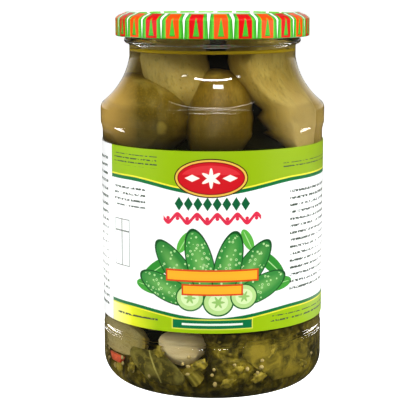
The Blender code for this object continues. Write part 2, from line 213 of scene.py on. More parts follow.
def glass_inside(grow=0.0):
    """Inner side of the glass as (radius, z), from the floor's middle up, moved out by grow."""
    g = GLASS
    body = g["panel"] - WALL + grow
    neck = g["neck"] - WALL + grow
    mouth = g["mouth"] + grow
    low = g["floor"] - grow
    line = [(0.0, low + g["floor_push_up"])]
    line += bend(line[-1], (g["floor_radius"], low), radians(-14), 8)
    line += bend(line[-1], (body, g["inner_heel"]), radians(78), 12)
    line += straight(line[-1], (body, g["corner"] - 1 * MM))
    shoulder = (g["shoulder"] - WALL + grow, g["shoulder_high"] - 1 * MM)
    line += bend(line[-1], shoulder, radians(30), 5)
    line += bend(line[-1], (neck, g["neck_bottom"]), radians(-40), 16)
    line.append((neck, g["neck_top"]))
    line += bend(line[-1], (mouth, g["mouth_bottom"]), radians(-20), 3)
    line.append((mouth, g["rim"] - 1 * MM))
    line.append((mouth + 0.6 * MM, g["rim"]))
    return line


def put(name, mesh, material, body="root"):
    """A finished piece at the origin that rides on a body."""
    piece = bpy.data.objects.new(name, mesh)
    mesh.materials.clear()
    mesh.materials.append(material)
    scene.collection.objects.link(piece)
    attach(piece, body)
    return piece


def turned(name, outline, sides=SIDES, sharp=50.0):
    """A turned mesh about Z from an outline that runs down its outer side."""
    radii, heights = (np.array(column) for column in zip(*outline))
    form = bmesh.new()
    rings = []
    for radius, z in zip(radii, heights):
        if radius < 1e-7:
            rings.append([form.verts.new((0, 0, z))])
            continue
        angles = [2 * pi * step / sides for step in range(sides)]
        rings.append([form.verts.new((radius * cos(a), radius * sin(a), z)) for a in angles])
    for upper, lower in zip(rings, rings[1:]):
        for step in range(sides):
            ahead = (step + 1) % sides
            corners = [upper[step % len(upper)], lower[step % len(lower)]]
            corners += [lower[ahead % len(lower)], upper[ahead % len(upper)]]
            form.faces.new(list(dict.fromkeys(corners)))
    bmesh.ops.recalc_face_normals(form, faces=form.faces)
    mesh = bpy.data.meshes.new(name)
    form.to_mesh(mesh)
    form.free()
    mesh.shade_smooth()
    mesh.set_sharp_from_angle(angle=radians(sharp))
    return mesh


def clear_material(name, tint, roughness, ior, shadow_tint, absorb=None, density=0.0):
    """Clear stuff that lets lamps through: shadow rays pass it, as light passes thin glass."""
    material, tree = new_material(name)
    shell = add(tree, "BsdfPrincipled", {
        "Base Color": tint, "Roughness": roughness, "IOR": ior, "Transmission Weight": 1.0,
    })
    through = add(tree, "BsdfTransparent", {"Color": shadow_tint})
    ray = add(tree, "LightPath")
    surface = add(tree, "MixShader", {0: ray.outputs["Is Shadow Ray"], 1: shell, 2: through})
    output = add(tree, "OutputMaterial", {"Surface": surface})
    if absorb:
        inside = add(tree, "VolumeAbsorption", {"Color": absorb, "Density": density})
        tree.links.new(inside.outputs[0], output.inputs["Volume"])
    return material


glass = clear_material("soda_lime_glass", (1, 1, 1, 1), 0.0, 1.5, (0.97, 0.98, 0.97, 1))
jar = put("glass_wall", turned("glass_wall", glass_inside() + glass_outside()), glass)
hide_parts("glass_jar")

# Brine: vinegar, salt and sugar water, stained yellow-olive by the herbs. It fills the jar up to
# the neck and reaches just into the glass, so that no air gap shows between them. A narrow ring of
# painted light stands on its edge, inside the neck: the golden line where light gathers in the meniscus.
BRINE_LEVEL = 147.2 * MM
BRINE_INTO_GLASS = 0.15 * MM
MENISCUS = 1.0 * MM
FROTH_RADIUS = GLASS["neck"] - WALL - 0.5 * MM
FROTH_HIGH = BRINE_LEVEL + 0.6 * MM
FROTH_HALF = 0.75 * MM


def brine_outline():
    """Outline of the brine from the middle of its surface out, up at the edge, and down the wall."""
    wall = [point for point in glass_inside(BRINE_INTO_GLASS) if point[1] < BRINE_LEVEL]
    edge = wall[-1][0]
    surface = [(0.0, BRINE_LEVEL), (edge - 3 * MENISCUS, BRINE_LEVEL)]
    surface += bend(surface[-1], (edge, BRINE_LEVEL + MENISCUS), radians(30), 4)
    return surface + wall[::-1]


brine = clear_material(
    "brine", (1, 1, 1, 1), 0.0, 1.34, (1, 1, 1, 1), absorb=to_linear("dcc640"), density=26.0,
)
put("brine", turned("brine", brine_outline()), brine)

# Painted light: a golden ring of plain colour on the brine's edge, for the bright line of the meniscus.
ring_outline = [(FROTH_RADIUS + FROTH_HALF, FROTH_HIGH)]
ring_outline += bend(ring_outline[0], (FROTH_RADIUS - FROTH_HALF, FROTH_HIGH), -pi, 8)
ring_outline += bend(ring_outline[-1], ring_outline[0], -pi, 8)
froth, tree = new_material("painted_meniscus_glow")
froth_shell = add(tree, "BsdfPrincipled", {"Base Color": to_linear("b09418"), "Roughness": 0.25})
add(tree, "OutputMaterial", {"Surface": froth_shell})
put("painted_meniscus_glow", turned("painted_meniscus_glow", ring_outline), froth)

# Cucumbers: whole pickled gherkins, khaki olive, packed upright and across, and pressed flat
# where they meet the glass. Each is a blunt three-sided form with warts and an end scar.
CLEARANCE = 0.9 * MM
SLACK_STEP = 0.07 * MM
CUCUMBERS = [
    # one end, other end, radius, bow, taper, depth behind the glass, lightness, warmth
    ((-20.5, -39.2, 117.3), (-37, 12, 120.5), 16.4, 2, 0.0, 0.0, 0.00, 0.60),
    ((-0.5, -36, 103), (2.0, -12.5, 137.6), 12.2, 2, 0.0, 0.0, 0.07, 0.80),
    ((14.8, -9, 157), (39.6, -21.5, 102), 14.0, 3, -0.35, 0.4, 0.52, 0.65),
    ((25, 5, 151), (36, 9, 84), 13.5, -2, 0.0, 0.0, 0.85, 0.45),
    ((-18.6, -8, 157), (-5, -18.5, 112), 13.5, 2, 0.0, 0.3, 0.55, 0.45),
    ((1, 19, 149), (-1, 35, 86), 15.0, 2, 0.0, 0.0, 0.50, 0.40),
    ((-25, 4, 151), (-33, 24, 88), 13.5, 2, 0.0, 0.0, 0.70, 0.30),
    ((10, -38, 90), (-36, -26, 92), 13.0, 2, 0.0, 0.0, 0.25, 0.30),
    ((-41, 4, 21.5), (-27.5, -31, 22.5), 7.5, 2, 0.0, 3.2, 1.00, 0.00),
    ((-38, -14, 37.5), (-13, -26, 34.5), 8.5, 0, 0.0, 4.0, 0.95, 0.00),
    ((9, -27, 31), (35, -6, 32), 12.5, 0, 0.0, 0.0, 0.45, 0.50),
    ((41, 0, 18), (14, 40, 23), 13.5, 3, 0.0, 0.0, 0.55, 0.40),
    ((8, 36, 22), (-38, 22, 24), 14.0, 3, 0.0, 0.0, 0.50, 0.30),
    ((-38, 24, 18), (-38, -5, 18), 9.0, 0, 0.0, 0.0, 0.60, 0.20),
    ((6, -27, 18), (30, -20, 15), 9.5, 0, 0.0, 0.0, 0.30, 0.60),
]
BLUNT_ENDS = 2.8
THREE_SIDED = 0.035
UNEVEN = 0.014
WARTS = 46
WART_HIGH = 0.45 * MM
WART_WIDE = 1.5 * MM
RINGS_ALONG = 60
RINGS_AROUND = 72


def room_at(z):
    """Radius that the contents may reach at heights inside the glass."""
    wall = [p for p in glass_inside() if p[0] >= GLASS["floor_radius"] - 1e-6]
    radii, heights = zip(*wall)
    return np.interp(z, heights, radii) - CLEARANCE


def floor_at(radius):
    """Height that the contents may sink to over the raised middle of the base."""
    radii, heights = zip(*[p for p in glass_inside() if p[0] <= GLASS["floor_radius"] + 1e-6])
    return np.interp(radius, radii[:9], heights[:9]) + CLEARANCE


def press(points, slack=0.0):
    """Pull points in where they would cross the glass."""
    reach = np.hypot(points[:, 0], points[:, 1])
    points[:, 2] = np.maximum(points[:, 2], floor_at(reach) + slack)
    room = room_at(points[:, 2]) - slack
    squeeze = np.minimum(1.0, room / np.maximum(reach, 1e-9))
    points[:, :2] *= squeeze[:, None]
    return points


def gherkin(start, end, radius, bow, taper, slack, chance):
    """Points, faces and skin coordinates of one cucumber."""
    low, high = np.array(start) * MM, np.array(end) * MM
    along = high - low
    half = np.linalg.norm(along) / 2
    along /= 2 * half
    side = np.cross(along, (0, 0, 1.0))
    side = side / np.linalg.norm(side) if np.linalg.norm(side) > 0.1 else np.array((1.0, 0, 0))
    other = np.cross(along, side)
    steps = -np.cos(np.linspace(0, pi, RINGS_ALONG)) * 0.9995
    turns = np.linspace(0, 2 * pi, RINGS_AROUND, endpoint=False)
    u, a = (grid.ravel() for grid in np.meshgrid(steps, turns, indexing="ij"))
    swell = (1 - np.abs(u) ** BLUNT_ENDS) ** 0.5
    fat = radius * MM * swell * (1 + THREE_SIDED * np.cos(3 * a))
    fat *= 1 + taper * u
    for wave in range(3):
        shift, tilt = chance.uniform(0, 2 * pi, 2)
        fat *= 1 + UNEVEN * np.sin((wave + 2) * a + shift) * np.sin((2 + wave) * u + tilt)
    for at, turn, size in zip(
        chance.uniform(-0.92, 0.92, WARTS), chance.uniform(0, 2 * pi, WARTS),
        chance.uniform(0.5, 1.0, WARTS),
    ):
        near_along = (u - at) * half
        near_around = ((a - turn + pi) % (2 * pi) - pi) * radius * MM
        fat += size * WART_HIGH * np.exp(-(near_along ** 2 + near_around ** 2) / WART_WIDE ** 2)
    points = ((low + high) / 2 + np.outer(u * half, along)
              + np.outer(bow * MM * (1 - u ** 2) + fat * np.cos(a), side)
              + np.outer(fat * np.sin(a), other))
    skin = np.stack([fat * np.cos(a), fat * np.sin(a), u * half * 0.5], 1) / MM
    tip = (1 - np.abs(u)) * half / MM + radius * swell
    faces = []
    for ring in range(RINGS_ALONG - 1):
        for step in range(RINGS_AROUND):
            ahead = (step + 1) % RINGS_AROUND
            first, second = ring * RINGS_AROUND, (ring + 1) * RINGS_AROUND
            faces.append((first + step, first + ahead, second + ahead, second + step))
    faces.append(tuple(range(RINGS_AROUND))[::-1])
    faces.append(tuple((RINGS_ALONG - 1) * RINGS_AROUND + step for step in range(RINGS_AROUND)))
    return press(points, slack), faces, skin, tip


def attribute(mesh, name, kind, values):
    """Store a value for each point of a mesh."""
    field = "vector" if kind == "FLOAT_VECTOR" else "value"
    made = mesh.attributes.new(name, kind, "POINT")
    made.data.foreach_set(field, np.asarray(values, np.float32).ravel())


def outward(mesh):
    """Point a mesh's faces outwards."""
    form = bmesh.new()
    form.from_mesh(mesh)
    bmesh.ops.recalc_face_normals(form, faces=form.faces)
    form.to_mesh(mesh)
    form.free()


chance = np.random.default_rng(11)
points, faces, skins, tips, tones, warms = [], [], [], [], [], []
for number, (start, end, radius, bow, taper, depth, light, warm) in enumerate(CUCUMBERS):
    found = gherkin(start, end, radius, bow, taper, SLACK_STEP * number + depth * MM, chance)
    offset = sum(len(group) for group in points)
    points.append(found[0])
    faces += [tuple(offset + index for index in face) for face in found[1]]
    skins.append(found[2] + 40.0 * number)
    tips.append(found[3])
    tones.append(np.full(len(found[0]), light))
    warms.append(np.full(len(found[0]), warm))
cucumber_mesh = bpy.data.meshes.new("cucumbers")
cucumber_mesh.from_pydata(np.concatenate(points).tolist(), [], faces)
attribute(cucumber_mesh, "skin", "FLOAT_VECTOR", np.concatenate(skins))
attribute(cucumber_mesh, "tip", "FLOAT", np.concatenate(tips))
attribute(cucumber_mesh, "tone", "FLOAT", np.concatenate(tones))
attribute(cucumber_mesh, "warm", "FLOAT", np.concatenate(warms))
outward(cucumber_mesh)
cucumber_mesh.shade_smooth()

# Pickled skin: wet and satin, khaki with paler streaks along its length, rusty grain, dark mottling
# and specks, a pale scar at each end; painted shade low down and painted light at the left and lower
# right.
pickle_skin, tree = new_material("pickled_cucumber_skin")
skin_at = add(tree, "Attribute", attribute_name="skin").outputs["Vector"]
tip_at = add(tree, "Attribute", attribute_name="tip").outputs["Fac"]
tone_at = add(tree, "Attribute", attribute_name="tone").outputs["Fac"]
warm_at = add(tree, "Attribute", attribute_name="warm").outputs["Fac"]
streaks = add(tree, "TexNoise", {"Vector": skin_at, "Scale": 0.16, "Detail": 4.0, "Roughness": 0.5})
mottle = add(tree, "TexNoise", {"Vector": skin_at, "Scale": 0.42, "Detail": 6.0, "Roughness": 0.6})
specks = add(tree, "TexVoronoi", {"Vector": skin_at, "Scale": 0.45, "Randomness": 1.0})
cool = add(tree, "MixRGB", {0: tone_at, 1: to_linear("544c0e"), 2: to_linear("beb27a")})
hot = add(tree, "MixRGB", {0: tone_at, 1: to_linear("6e5404"), 2: to_linear("ac8a1e")})
body_colour = add(tree, "MixRGB", {0: warm_at, 1: cool, 2: hot})
pale = add(tree, "MapRange", {0: streaks, 1: 0.45, 2: 0.68, 3: 0.0, 4: 0.6})
pale_share = add(tree, "MapRange", {0: tone_at, 1: 0.0, 2: 0.8, 3: 0.3, 4: 0.85})
pale_here = add(tree, "Math", {0: pale, 1: pale_share}, operation="MULTIPLY")
streaked = add(tree, "MixRGB", {0: pale_here, 1: body_colour, 2: to_linear("bcaa5c")})
grain = add(tree, "TexNoise", {"Vector": skin_at, "Scale": 1.6, "Detail": 3.0, "Roughness": 0.7})
rusty = add(tree, "MapRange", {0: grain, 1: 0.52, 2: 0.70, 3: 0.0, 4: 0.55})
rusted = add(tree, "MixRGB", {0: rusty, 1: streaked, 2: to_linear("a07c18")})
dark = add(tree, "MapRange", {0: mottle, 1: 0.5, 2: 0.75, 3: 0.0, 4: 0.4})
mottled = add(tree, "MixRGB", {0: dark, 1: rusted, 2: to_linear("35320a")})
spot = add(tree, "MapRange", {0: specks, 1: 0.05, 2: 0.18, 3: 0.55, 4: 0.0})
spotted = add(tree, "MixRGB", {0: spot, 1: mottled, 2: to_linear("4c4410")})
around_scar = add(tree, "MapRange", {0: tip_at, 1: 3.5, 2: 8.0, 3: 0.3, 4: 0.0})
shaded = add(tree, "MixRGB", {0: around_scar, 1: spotted, 2: to_linear("3c360c")})
scar = add(tree, "MapRange", {0: tip_at, 1: 1.6, 2: 3.4, 3: 0.75, 4: 0.0})
scarred = add(tree, "MixRGB", {0: scar, 1: shaded, 2: to_linear("b09a42")})
height_at = add(tree, "SeparateXYZ", {0: add(tree, "TexCoord").outputs["Object"]})
low_down = add(tree, "MapRange", {0: height_at.outputs["Z"], 1: 0.109, 2: 0.130, 3: 0.95, 4: 0.0})
off_floor = add(tree, "MapRange", {0: height_at.outputs["Z"], 1: 0.04, 2: 0.06, 3: 0.0, 4: 1.0})
darker = add(tree, "Math", {0: low_down, 1: off_floor}, operation="MULTIPLY")
not_pale = add(tree, "MapRange", {0: tone_at, 1: 0.2, 2: 0.7, 3: 1.0, 4: 0.12})
not_right = add(tree, "MapRange", {0: height_at.outputs["X"], 1: 0.014, 2: 0.024, 3: 1.0, 4: 0.3})
shade_part = add(tree, "Math", {0: darker, 1: not_pale}, operation="MULTIPLY")
shade_here = add(tree, "Math", {0: shade_part, 1: not_right}, operation="MULTIPLY")
low_shade = add(tree, "MixRGB", {0: shade_here, 1: scarred, 2: to_linear("2e280c")})
# Painted light: a warm pale glow on the skins at the jar's left edge, above the label, where light comes
# in through the side of the glass.
ripe = add(tree, "MapRange", {0: height_at.outputs["X"], 1: -0.030, 2: -0.045, 3: 0.0, 4: 0.9})
ripe_band = add(tree, "MapRange", {0: height_at.outputs["Z"], 1: 0.106, 2: 0.118, 3: 0.0, 4: 1.0})
ripe_here = add(tree, "Math", {0: ripe, 1: ripe_band}, operation="MULTIPLY")
blushed = add(tree, "MixRGB", {0: ripe_here, 1: low_shade, 2: to_linear("ecc060")})
# Painted light: skins paler low on the jar's right side, as light falls there.
right_side = add(tree, "MapRange", {0: height_at.outputs["X"], 1: 0.022, 2: 0.038, 3: 0.0, 4: 0.5})
right_low = add(tree, "MapRange", {0: height_at.outputs["Z"], 1: 0.136, 2: 0.118, 3: 0.0, 4: 1.0})
paler_here = add(tree, "Math", {0: right_side, 1: right_low}, operation="MULTIPLY")
lit = add(tree, "MixRGB", {0: paler_here, 1: blushed, 2: to_linear("e0c482")})
bumps = add(tree, "Bump", {"Strength": 0.25, "Distance": 0.0006, "Height": mottle})
pickle_shell = add(tree, "BsdfPrincipled", {
    "Base Color": lit, "Roughness": 0.42, "Specular IOR Level": 0.25, "Normal": bumps,
})
add(tree, "OutputMaterial", {"Surface": pickle_shell})
cucumbers = put("cucumbers", cucumber_mesh, pickle_skin)
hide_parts("pickles")

# Middle of the heap: what lies behind the outer row is in deep shade, so a dark core with the same
# place as the solid's stands there.
core_outline = [(0.0, 150 * MM), (10 * MM, 150 * MM), (19 * MM, 140 * MM), (26 * MM, 118 * MM)]
core_outline += [(29 * MM, 60 * MM), (28 * MM, 14 * MM), (22 * MM, 10.5 * MM), (0.0, 11 * MM)]
shade, tree = new_material("deep_shade")
shade_place = add(tree, "TexCoord").outputs["Object"]
shade_noise = add(tree, "TexNoise", {"Vector": shade_place, "Scale": 90.0, "Detail": 3.0})
shade_colour = add(tree, "MixRGB", {0: shade_noise, 1: to_linear("080703"), 2: to_linear("1e1c0a")})
shade_shell = add(tree, "BsdfPrincipled", {
    "Base Color": shade_colour, "Roughness": 0.7, "Specular IOR Level": 0.1,
})
add(tree, "OutputMaterial", {"Surface": shade_shell})
core = put("heap_core", turned("heap_core", core_outline, sides=64), shade)

# Herb bed: soft dill, leaf scraps and spice settled at the bottom, as one lumpy body that follows
# the glass, pressed in behind the larger pieces and lower at the left, where cucumbers show.
BED_DENTS = [
    # angle from the front, height, half angle, half height, depth
    (-20, 23, 17, 10, 9.0), (-9, 12.5, 6, 6, 5.0), (-66, 13.4, 12, 6, 4.0), (-33, 14, 15, 8, 1.2),
    (-66, 27.5, 40, 10.0, 16.0), (42, 17, 22, 10, 1.0),
]


def lumpy(place, scale, steps=4):
    """Smooth noise about 0 with finer and finer lumps."""
    return noise.fractal(Vector(place) * scale, 0.7, 2.0, steps)


bed_outline = [(0.0, 30 * MM)] + [(r * MM, 30 * MM) for r in (12, 22, 30, 36)]
bed_heights = np.linspace(29.5, 3.9, 50) * MM
bed_outline += [(float(room_at(z)), float(z)) for z in bed_heights]
bed_outline += [(r * MM, float(floor_at(r * MM))) for r in (30, 22, 12)] + [(0.0, float(floor_at(0.0)))]
bed_mesh = turned("herb_bed", bed_outline, sides=240)
for vert in bed_mesh.vertices:
    reach = hypot(vert.co.x, vert.co.y)
    if reach < 5 * MM:
        continue
    around = np.degrees(atan2(vert.co.x, -vert.co.y))
    sink = 1.0 + 1.3 * lumpy(vert.co, 160) + 0.7 * lumpy(vert.co, 520)
    for angle, high, wide, tall, depth in BED_DENTS:
        off = (((around - angle + 180) % 360 - 180) / wide) ** 4 + ((vert.co.z / MM - high) / tall) ** 4
        sink += depth / (1 + off ** 2)
    scale = max(reach - max(sink, 0.0) * MM, 4 * MM) / reach
    vert.co.x *= scale
    vert.co.y *= scale
herbs, tree = new_material("settled_herbs")
herb_place = add(tree, "TexCoord").outputs["Object"]
coarse = add(tree, "TexNoise", {"Vector": herb_place, "Scale": 130.0, "Detail": 5.0, "Distortion": 0.8})
fine = add(tree, "TexNoise", {"Vector": herb_place, "Scale": 420.0, "Detail": 4.0, "Distortion": 1.5})
cells = add(tree, "TexVoronoi", {"Vector": herb_place, "Scale": 210.0, "Randomness": 1.0})
herb_dark = add(tree, "MapRange", {0: coarse, 1: 0.40, 2: 0.60, 3: 0.0, 4: 1.0})
herb_base = add(tree, "MixRGB", {0: herb_dark, 1: to_linear("262208"), 2: to_linear("8e7e24")})
herb_fine = add(tree, "MapRange", {0: fine, 1: 0.42, 2: 0.66, 3: 0.0, 4: 0.75})
herb_mid = add(tree, "MixRGB", {0: herb_fine, 1: herb_base, 2: to_linear("4e460f")})
herb_flake = add(tree, "MapRange", {0: cells, 1: 0.10, 2: 0.24, 3: 0.7, 4: 0.0})
herb_colour = add(tree, "MixRGB", {0: herb_flake, 1: herb_mid, 2: to_linear("a9953a")})
herb_bump = add(tree, "Bump", {"Strength": 0.6, "Distance": 0.0012, "Height": fine})
herb_shell = add(tree, "BsdfPrincipled", {
    "Base Color": herb_colour, "Roughness": 0.5, "Specular IOR Level": 0.2, "Normal": herb_bump,
})
add(tree, "OutputMaterial", {"Surface": herb_shell})
bed = put("herb_bed", bed_mesh, herbs)

# Garlic: one peeled clove, a fat crescent that narrows to a tip, lying against the glass.
GARLIC_PLACE = (-11.5, -34.8, 22.2)
GARLIC_HALF = (10.3, 6.0, 7.6)
GARLIC_TIP = 2.2


def sphere(rings, sides):
    """Points of a unit ball about Z as an array, and its faces."""
    ball = bmesh.new()
    bmesh.ops.create_uvsphere(ball, u_segments=sides, v_segments=rings, radius=1.0)
    points = np.array([vert.co for vert in ball.verts])
    faces = [tuple(vert.index for vert in face.verts) for face in ball.faces]
    ball.free()
    return points, faces


def solid_mesh(name, points, faces):
    """A closed smooth mesh with its faces outwards."""
    mesh = bpy.data.meshes.new(name)
    mesh.from_pydata(np.asarray(points).tolist(), [], faces)
    outward(mesh)
    mesh.shade_smooth()
    return mesh


ball, faces = sphere(40, 56)
across, deep, up = ball[:, 2], ball[:, 0], ball[:, 1]
narrow = 1 - 0.28 * np.maximum(across, 0.0) ** 2
ridges = 1 + 0.02 * np.cos(9 * np.arctan2(deep, up)) * (1 - across ** 2)
clove = np.stack([
    GARLIC_PLACE[0] + GARLIC_HALF[0] * across,
    GARLIC_PLACE[1] + GARLIC_HALF[1] * deep * narrow * ridges,
    GARLIC_PLACE[2] + GARLIC_HALF[2] * up * narrow * ridges + GARLIC_TIP * across ** 2,
], 1) * MM
garlic_skin, tree = new_material("peeled_garlic")
clove_place = add(tree, "TexCoord").outputs["Object"]
stretch = add(tree, "Mapping", {"Vector": clove_place, "Scale": (90.0, 260.0, 520.0)})
veins = add(tree, "TexNoise", {"Vector": stretch, "Scale": 1.0, "Detail": 3.0})
clove_colour = add(tree, "MixRGB", {0: veins, 1: to_linear("c4ac74"), 2: to_linear("f2e6c0")})
clove_shell = add(tree, "BsdfPrincipled", {
    "Base Color": clove_colour, "Roughness": 0.4, "Subsurface Weight": 0.25,
    "Subsurface Radius": (1.0, 0.8, 0.4), "Subsurface Scale": 0.002,
})
add(tree, "OutputMaterial", {"Surface": clove_shell})
garlic = put("garlic_clove_skin", solid_mesh("garlic_clove_skin", press(clove), faces), garlic_skin)
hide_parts("garlic_clove")

# Red pepper: one cut strip that lies flat on the glass, wider at its upper edge.
PEPPER_AROUND = radians(-66)
PEPPER_HIGH = 12.6 * MM
PEPPER_SIZE = (12.4 * MM, 3.8 * MM, 2.6 * MM)
bpy.ops.mesh.primitive_cube_add(size=1.0)
strip = bpy.context.object
strip_reach = float(room_at(PEPPER_HIGH)) - PEPPER_SIZE[2]
for vert in strip.data.vertices:
    vert.co = Vector((
        vert.co.x * PEPPER_SIZE[0] * (0.8 + 0.4 * vert.co.z), vert.co.y * PEPPER_SIZE[2],
        vert.co.z * PEPPER_SIZE[1],
    ))
edge = strip.modifiers.new("Edge", "BEVEL")
edge.width = 0.8 * MM
edge.segments = 4
smooth = strip.modifiers.new("Cells", "SUBSURF")
smooth.levels = smooth.render_levels = 3
strip_mesh = bpy.data.meshes.new_from_object(strip.evaluated_get(bpy.context.evaluated_depsgraph_get()))
bpy.data.objects.remove(strip, do_unlink=True)
strip_mesh.transform(Matrix.Translation((
    strip_reach * sin(PEPPER_AROUND), -strip_reach * cos(PEPPER_AROUND), PEPPER_HIGH,
)) @ Matrix.Rotation(PEPPER_AROUND, 4, "Z"))
strip_mesh.name = "pepper_strip"
strip_mesh.shade_smooth()
pepper_skin, tree = new_material("red_pepper_flesh")
pepper_place = add(tree, "TexCoord").outputs["Object"]
pepper_noise = add(tree, "TexNoise", {"Vector": pepper_place, "Scale": 300.0, "Detail": 2.0})
pepper_colour = add(tree, "MixRGB", {0: pepper_noise, 1: to_linear("c83814"), 2: to_linear("fa7040")})
pepper_shell = add(tree, "BsdfPrincipled", {"Base Color": pepper_colour, "Roughness": 0.3})
add(tree, "OutputMaterial", {"Surface": pepper_shell})
pepper = put("pepper_strip", strip_mesh, pepper_skin)
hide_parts("pepper_piece")

# Dill stalk: a cut length, ribbed along its side.
STALK_ENDS = ((-9.4, -40.0, 13.6), (-5.6, -38.0, 8.8))
STALK_RADIUS = 3.2
STALK_RIBS = 9
stalk_low, stalk_high = (Vector(end) * MM for end in STALK_ENDS)
stalk_along = stalk_high - stalk_low
form = bmesh.new()
bmesh.ops.create_cone(
    form, cap_ends=True, segments=108, radius1=STALK_RADIUS * MM, radius2=STALK_RADIUS * 0.9 * MM,
    depth=stalk_along.length,
)
for vert in form.verts:
    rib = 1 + 0.05 * cos(STALK_RIBS * atan2(vert.co.y, vert.co.x))
    vert.co.x *= rib
    vert.co.y *= rib
stalk_mesh = bpy.data.meshes.new("stalk")
form.to_mesh(stalk_mesh)
form.free()
stalk_mesh.transform(Matrix.Translation((stalk_low + stalk_high) / 2)
                     @ stalk_along.to_track_quat("Z", "Y").to_matrix().to_4x4())
stalk_mesh.shade_smooth()
stalk_mesh.set_sharp_from_angle(angle=radians(50))
stalk_skin, tree = new_material("pickled_dill_stalk")
stalk_place = add(tree, "TexCoord").outputs["Object"]
stalk_noise = add(tree, "TexNoise", {"Vector": stalk_place, "Scale": 350.0, "Detail": 3.0})
stalk_colour = add(tree, "MixRGB", {0: stalk_noise, 1: to_linear("6c6016"), 2: to_linear("b4a440")})
stalk_shell = add(tree, "BsdfPrincipled", {"Base Color": stalk_colour, "Roughness": 0.45})
add(tree, "OutputMaterial", {"Surface": stalk_shell})
stalk = put("stalk_piece", stalk_mesh, stalk_skin)
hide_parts("dill_stalk")

# Leaves: thin wavy bay leaves, dark olive and blotched, wrapped on the inside of the glass with a
# pale midrib and faint side veins.
LEAVES = {
    "leaf_front": (radians(-33), 7.5 * MM, 21 * MM, 11.5 * MM),
    "leaf_right": (radians(42), 8 * MM, 26 * MM, 17 * MM),
}
LEAF_THICK = 0.5 * MM
LEAF_WAVE = 0.4 * MM
LEAF_CELLS = 48
leaf_skin, tree = new_material("pickled_leaf")
leaf_at = add(tree, "SeparateXYZ", {0: add(tree, "Attribute", attribute_name="leaf").outputs["Vector"]})
leaf_place = add(tree, "TexCoord").outputs["Object"]
blotch = add(tree, "TexNoise", {"Vector": leaf_place, "Scale": 160.0, "Detail": 5.0, "Distortion": 0.6})
speck = add(tree, "TexNoise", {"Vector": leaf_place, "Scale": 600.0, "Detail": 2.0})
leaf_light = add(tree, "MapRange", {0: blotch, 1: 0.40, 2: 0.62, 3: 0.0, 4: 1.0})
leaf_base = add(tree, "MixRGB", {0: leaf_at.outputs["Z"], 1: to_linear("867c38"), 2: to_linear("96842a")})
leaf_tone = add(tree, "MixRGB", {0: leaf_light, 1: to_linear("443e14"), 2: leaf_base})
leaf_speck = add(tree, "MapRange", {0: speck, 1: 0.56, 2: 0.72, 3: 0.0, 4: 0.55})
leaf_spotted = add(tree, "MixRGB", {0: leaf_speck, 1: leaf_tone, 2: to_linear("9c8a30")})
rib_line = add(tree, "Math", {0: leaf_at.outputs["X"]}, operation="ABSOLUTE")
rib = add(tree, "MapRange", {0: rib_line, 1: 0.02, 2: 0.05, 3: 0.85, 4: 0.0})
side_way = add(tree, "Math", {0: rib_line, 1: 1.2, 2: leaf_at.outputs["Y"]}, operation="MULTIPLY_ADD")
side_vein = add(tree, "Math", {0: side_way, 1: 0.14}, operation="PINGPONG")
vein = add(tree, "MapRange", {0: side_vein, 1: 0.0, 2: 0.012, 3: 0.3, 4: 0.0})
veined = add(tree, "MixRGB", {0: vein, 1: leaf_spotted, 2: to_linear("8a8038")})
ribbed = add(tree, "MixRGB", {0: rib, 1: veined, 2: to_linear("b8ae5c")})
leaf_shell = add(tree, "BsdfPrincipled", {
    "Base Color": ribbed, "Roughness": 0.45, "Specular IOR Level": 0.2,
})
add(tree, "OutputMaterial", {"Surface": leaf_shell})


def leaf_points(around, low, high, half_width, inward):
    """Grid of points over a leaf, some way in from the glass."""
    steps = np.linspace(-1, 1, LEAF_CELLS)
    across, up = (grid.ravel() for grid in np.meshgrid(steps, steps))
    z = low + (high - low) * (up + 1) / 2
    wide = half_width * (1 - 0.55 * across * up) * (1 - 0.35 * up ** 2)
    wave = LEAF_WAVE * (1 + np.sin(5 * across + 2 * up) * np.cos(3 * up))
    reach = room_at(z) - LEAF_THICK - wave - inward
    angle = around + across * wide / reach
    return np.stack([reach * np.sin(angle), -reach * np.cos(angle), z], 1), across, up


for name, (around, low, high, half_width) in LEAVES.items():
    front, across, up = leaf_points(around, low, high, half_width, -LEAF_THICK / 2)
    back = leaf_points(around, low, high, half_width, LEAF_THICK / 2)[0]
    count = LEAF_CELLS * LEAF_CELLS
    faces = []
    for row in range(LEAF_CELLS - 1):
        for column in range(LEAF_CELLS - 1):
            first = row * LEAF_CELLS + column
            square = (first, first + 1, first + LEAF_CELLS + 1, first + LEAF_CELLS)
            faces += [square, tuple(count + index for index in square[::-1])]
    rim = list(range(LEAF_CELLS - 1))
    rim += [row * LEAF_CELLS + LEAF_CELLS - 1 for row in range(LEAF_CELLS - 1)]
    rim += [count - 1 - step for step in range(LEAF_CELLS - 1)]
    rim += [row * LEAF_CELLS for row in range(LEAF_CELLS - 1, 0, -1)]
    for first, second in zip(rim, rim[1:] + rim[:1]):
        faces.append((second, first, count + first, count + second))
    mesh = solid_mesh(name + "_blade", np.concatenate([front, back]), faces)
    bright = np.full(count, 1.0 if name == "leaf_right" else 0.0)
    marks = np.stack([across + 0.25 * up + 4 * bright, up, bright], 1)
    attribute(mesh, "leaf", "FLOAT_VECTOR", np.concatenate([marks, marks]))
    leaf = put(name + "_blade", mesh, leaf_skin)
    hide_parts(name)

